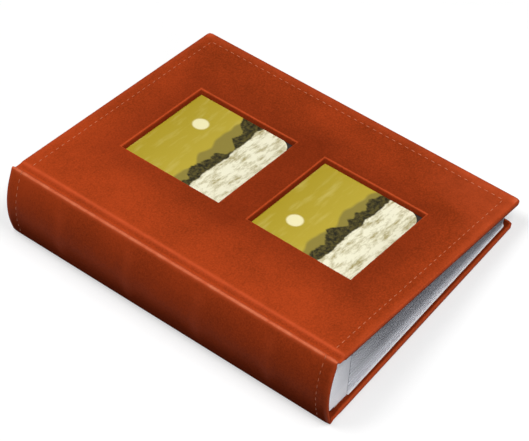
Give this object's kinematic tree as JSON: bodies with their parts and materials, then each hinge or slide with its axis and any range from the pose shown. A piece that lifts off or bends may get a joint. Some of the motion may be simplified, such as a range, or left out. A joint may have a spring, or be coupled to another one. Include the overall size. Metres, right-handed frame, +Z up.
{
  "type": "stamp album",
  "caption": "Leather-covered stamp album with a rounded spine, two picture windows in the front cover, hinged covers and turning stock leaves.",
  "frame": {"origin": "middle of the foot of the closed album's box, on the table", "axes": "+X from the spine to the fore edge, +Y to the head of the album, +Z up from the table"},
  "size_m": [0.1928, 0.24, 0.0505],
  "materials": {
    "leather": "smooth, soft sheen",
    "millboard": "grey-brown pulp board",
    "lining_paper": "matt paper",
    "lining_cloth": "open weave cloth",
    "picture_card": "satin printed card",
    "clear_film": "clear film",
    "glassine": "thin translucent sheet",
    "leaf_card": "white stock card"
  },
  "bodies": {
    "spine": {"spine_leather": "leather", "spine_board": "millboard", "spine_lining": "lining_cloth", "leaf_guards": "leaf_card"},
    "front_joint": {"front_joint_leather": "leather"},
    "front_cover": {"front_leather": "leather", "front_board": "millboard", "front_infill": "millboard", "front_lining": "lining_paper", "upper_picture": "picture_card", "lower_picture": "picture_card"},
    "back_joint": {"back_joint_leather": "leather"},
    "back_cover": {"back_leather": "leather", "back_board": "millboard", "back_infill": "millboard", "back_lining": "lining_paper"},
    "back_flyleaf": {"back_flyleaf": "leaf_card"},
    "leaf_12": {"leaf_12_card": "leaf_card", "leaf_12_strips": "clear_film"},
    "interleaf_11": {"interleaf_11": "glassine"},
    "leaf_11": {"leaf_11_card": "leaf_card", "leaf_11_strips": "clear_film"},
    "interleaf_10": {"interleaf_10": "glassine"},
    "leaf_10": {"leaf_10_card": "leaf_card", "leaf_10_strips": "clear_film"},
    "interleaf_09": {"interleaf_09": "glassine"},
    "leaf_09": {"leaf_09_card": "leaf_card", "leaf_09_strips": "clear_film"},
    "interleaf_08": {"interleaf_08": "glassine"},
    "leaf_08": {"leaf_08_card": "leaf_card", "leaf_08_strips": "clear_film"},
    "interleaf_07": {"interleaf_07": "glassine"},
    "leaf_07": {"leaf_07_card": "leaf_card", "leaf_07_strips": "clear_film"},
    "interleaf_06": {"interleaf_06": "glassine"},
    "leaf_06": {"leaf_06_card": "leaf_card", "leaf_06_strips": "clear_film"},
    "interleaf_05": {"interleaf_05": "glassine"},
    "leaf_05": {"leaf_05_card": "leaf_card", "leaf_05_strips": "clear_film"},
    "interleaf_04": {"interleaf_04": "glassine"},
    "leaf_04": {"leaf_04_card": "leaf_card", "leaf_04_strips": "clear_film"},
    "interleaf_03": {"interleaf_03": "glassine"},
    "leaf_03": {"leaf_03_card": "leaf_card", "leaf_03_strips": "clear_film"},
    "interleaf_02": {"interleaf_02": "glassine"},
    "leaf_02": {"leaf_02_card": "leaf_card", "leaf_02_strips": "clear_film"},
    "interleaf_01": {"interleaf_01": "glassine"},
    "leaf_01": {"leaf_01_card": "leaf_card", "leaf_01_strips": "clear_film"},
    "front_flyleaf": {"front_flyleaf": "leaf_card"}
  },
  "joints": [
    {"name": "front_joint_fold", "type": "hinge", "parent": "spine", "child": "front_joint", "pos_m": [-0.08435, 0, 0.04752], "axis": [0, -1, 0], "range_deg": [0, 92]},
    {"name": "front_cover_hinge", "type": "hinge", "parent": "front_joint", "child": "front_cover", "pos_m": [-0.07942, 0, 0.04669], "axis": [0, -1, 0], "range_deg": [0, 92]},
    {"name": "back_joint_fold", "type": "hinge", "parent": "spine", "child": "back_joint", "pos_m": [-0.09054, 0, 0.0017], "axis": [0, 1, 0], "range_deg": [0, 92]},
    {"name": "back_cover_hinge", "type": "hinge", "parent": "back_joint", "child": "back_cover", "pos_m": [-0.08554, 0, 0.0017], "axis": [0, 1, 0], "range_deg": [0, 92]},
    {"name": "back_flyleaf_turn", "type": "hinge", "parent": "spine", "child": "back_flyleaf", "pos_m": [-0.07284, 0, 0.00403], "axis": [0, 1, 0], "range_deg": [0, 85.66]},
    {"name": "leaf_12_turn", "type": "hinge", "parent": "spine", "child": "leaf_12", "pos_m": [-0.07263, 0, 0.00563], "axis": [0, 1, 0], "range_deg": [0, 78.52]},
    {"name": "interleaf_11_turn", "type": "hinge", "parent": "spine", "child": "interleaf_11", "pos_m": [-0.07241, 0, 0.00722], "axis": [0, 1, 0], "range_deg": [0, 71.39]},
    {"name": "leaf_11_turn", "type": "hinge", "parent": "spine", "child": "leaf_11", "pos_m": [-0.0722, 0, 0.00882], "axis": [0, 1, 0], "range_deg": [0, 64.25]},
    {"name": "interleaf_10_turn", "type": "hinge", "parent": "spine", "child": "interleaf_10", "pos_m": [-0.07198, 0, 0.01042], "axis": [0, 1, 0], "range_deg": [0, 57.11]},
    {"name": "leaf_10_turn", "type": "hinge", "parent": "spine", "child": "leaf_10", "pos_m": [-0.07177, 0, 0.01201], "axis": [0, 1, 0], "range_deg": [0, 49.97]},
    {"name": "interleaf_09_turn", "type": "hinge", "parent": "spine", "child": "interleaf_09", "pos_m": [-0.07155, 0, 0.01361], "axis": [0, 1, 0], "range_deg": [0, 42.84]},
    {"name": "leaf_09_turn", "type": "hinge", "parent": "spine", "child": "leaf_09", "pos_m": [-0.07134, 0, 0.01521], "axis": [0, 1, 0], "range_deg": [0, 35.7]},
    {"name": "interleaf_08_turn", "type": "hinge", "parent": "spine", "child": "interleaf_08", "pos_m": [-0.07113, 0, 0.0168], "axis": [0, 1, 0], "range_deg": [0, 28.56]},
    {"name": "leaf_08_turn", "type": "hinge", "parent": "spine", "child": "leaf_08", "pos_m": [-0.07091, 0, 0.0184], "axis": [0, 1, 0], "range_deg": [0, 21.42]},
    {"name": "interleaf_07_turn", "type": "hinge", "parent": "spine", "child": "interleaf_07", "pos_m": [-0.0707, 0, 0.01999], "axis": [0, 1, 0], "range_deg": [0, 14.29]},
    {"name": "leaf_07_turn", "type": "hinge", "parent": "spine", "child": "leaf_07", "pos_m": [-0.07048, 0, 0.02159], "axis": [0, 1, 0], "range_deg": [0, 7.15]},
    {"name": "interleaf_06_turn", "type": "hinge", "parent": "spine", "child": "interleaf_06", "pos_m": [-0.07027, 0, 0.02319], "axis": [0, -1, 0], "range_deg": [0, 6.16]},
    {"name": "leaf_06_turn", "type": "hinge", "parent": "spine", "child": "leaf_06", "pos_m": [-0.07005, 0, 0.02478], "axis": [0, -1, 0], "range_deg": [0, 12.31]},
    {"name": "interleaf_05_turn", "type": "hinge", "parent": "spine", "child": "interleaf_05", "pos_m": [-0.06984, 0, 0.02638], "axis": [0, -1, 0], "range_deg": [0, 18.46]},
    {"name": "leaf_05_turn", "type": "hinge", "parent": "spine", "child": "leaf_05", "pos_m": [-0.06962, 0, 0.02798], "axis": [0, -1, 0], "range_deg": [0, 24.6]},
    {"name": "interleaf_04_turn", "type": "hinge", "parent": "spine", "child": "interleaf_04", "pos_m": [-0.06941, 0, 0.02957], "axis": [0, -1, 0], "range_deg": [0, 30.75]},
    {"name": "leaf_04_turn", "type": "hinge", "parent": "spine", "child": "leaf_04", "pos_m": [-0.0692, 0, 0.03117], "axis": [0, -1, 0], "range_deg": [0, 36.9]},
    {"name": "interleaf_03_turn", "type": "hinge", "parent": "spine", "child": "interleaf_03", "pos_m": [-0.06898, 0, 0.03277], "axis": [0, -1, 0], "range_deg": [0, 43.05]},
    {"name": "leaf_03_turn", "type": "hinge", "parent": "spine", "child": "leaf_03", "pos_m": [-0.06877, 0, 0.03436], "axis": [0, -1, 0], "range_deg": [0, 49.2]},
    {"name": "interleaf_02_turn", "type": "hinge", "parent": "spine", "child": "interleaf_02", "pos_m": [-0.06855, 0, 0.03596], "axis": [0, -1, 0], "range_deg": [0, 55.35]},
    {"name": "leaf_02_turn", "type": "hinge", "parent": "spine", "child": "leaf_02", "pos_m": [-0.06834, 0, 0.03756], "axis": [0, -1, 0], "range_deg": [0, 61.5]},
    {"name": "interleaf_01_turn", "type": "hinge", "parent": "spine", "child": "interleaf_01", "pos_m": [-0.06812, 0, 0.03915], "axis": [0, -1, 0], "range_deg": [0, 67.64]},
    {"name": "leaf_01_turn", "type": "hinge", "parent": "spine", "child": "leaf_01", "pos_m": [-0.06791, 0, 0.04075], "axis": [0, -1, 0], "range_deg": [0, 73.79]},
    {"name": "front_flyleaf_turn", "type": "hinge", "parent": "spine", "child": "front_flyleaf", "pos_m": [-0.06769, 0, 0.04235], "axis": [0, -1, 0], "range_deg": [0, 79.94]}
  ],
  "couplings": [
    {"joint": "front_joint_fold", "follows": "front_cover_hinge", "ratio": 1},
    {"joint": "back_joint_fold", "follows": "back_cover_hinge", "ratio": 1},
    {"joint": "back_flyleaf_turn", "follows": "back_cover_hinge", "ratio": 0.93098},
    {"joint": "leaf_12_turn", "follows": "back_cover_hinge", "ratio": 0.8534},
    {"joint": "interleaf_11_turn", "follows": "back_cover_hinge", "ratio": 0.77582},
    {"joint": "leaf_11_turn", "follows": "back_cover_hinge", "ratio": 0.69824},
    {"joint": "interleaf_10_turn", "follows": "back_cover_hinge", "ratio": 0.62065},
    {"joint": "leaf_10_turn", "follows": "back_cover_hinge", "ratio": 0.54308},
    {"joint": "interleaf_09_turn", "follows": "back_cover_hinge", "ratio": 0.46549},
    {"joint": "leaf_09_turn", "follows": "back_cover_hinge", "ratio": 0.38791},
    {"joint": "interleaf_08_turn", "follows": "back_cover_hinge", "ratio": 0.31033},
    {"joint": "leaf_08_turn", "follows": "back_cover_hinge", "ratio": 0.23275},
    {"joint": "interleaf_07_turn", "follows": "back_cover_hinge", "ratio": 0.15516},
    {"joint": "leaf_07_turn", "follows": "back_cover_hinge", "ratio": 0.077587},
    {"joint": "interleaf_06_turn", "follows": "front_cover_hinge", "ratio": 0.066837},
    {"joint": "leaf_06_turn", "follows": "front_cover_hinge", "ratio": 0.13366},
    {"joint": "interleaf_05_turn", "follows": "front_cover_hinge", "ratio": 0.2005},
    {"joint": "leaf_05_turn", "follows": "front_cover_hinge", "ratio": 0.26733},
    {"joint": "interleaf_04_turn", "follows": "front_cover_hinge", "ratio": 0.33416},
    {"joint": "leaf_04_turn", "follows": "front_cover_hinge", "ratio": 0.40099},
    {"joint": "interleaf_03_turn", "follows": "front_cover_hinge", "ratio": 0.46783},
    {"joint": "leaf_03_turn", "follows": "front_cover_hinge", "ratio": 0.53465},
    {"joint": "interleaf_02_turn", "follows": "front_cover_hinge", "ratio": 0.60149},
    {"joint": "leaf_02_turn", "follows": "front_cover_hinge", "ratio": 0.66833},
    {"joint": "interleaf_01_turn", "follows": "front_cover_hinge", "ratio": 0.73515},
    {"joint": "leaf_01_turn", "follows": "front_cover_hinge", "ratio": 0.80199},
    {"joint": "front_flyleaf_turn", "follows": "front_cover_hinge", "ratio": 0.86882}
  ]
}
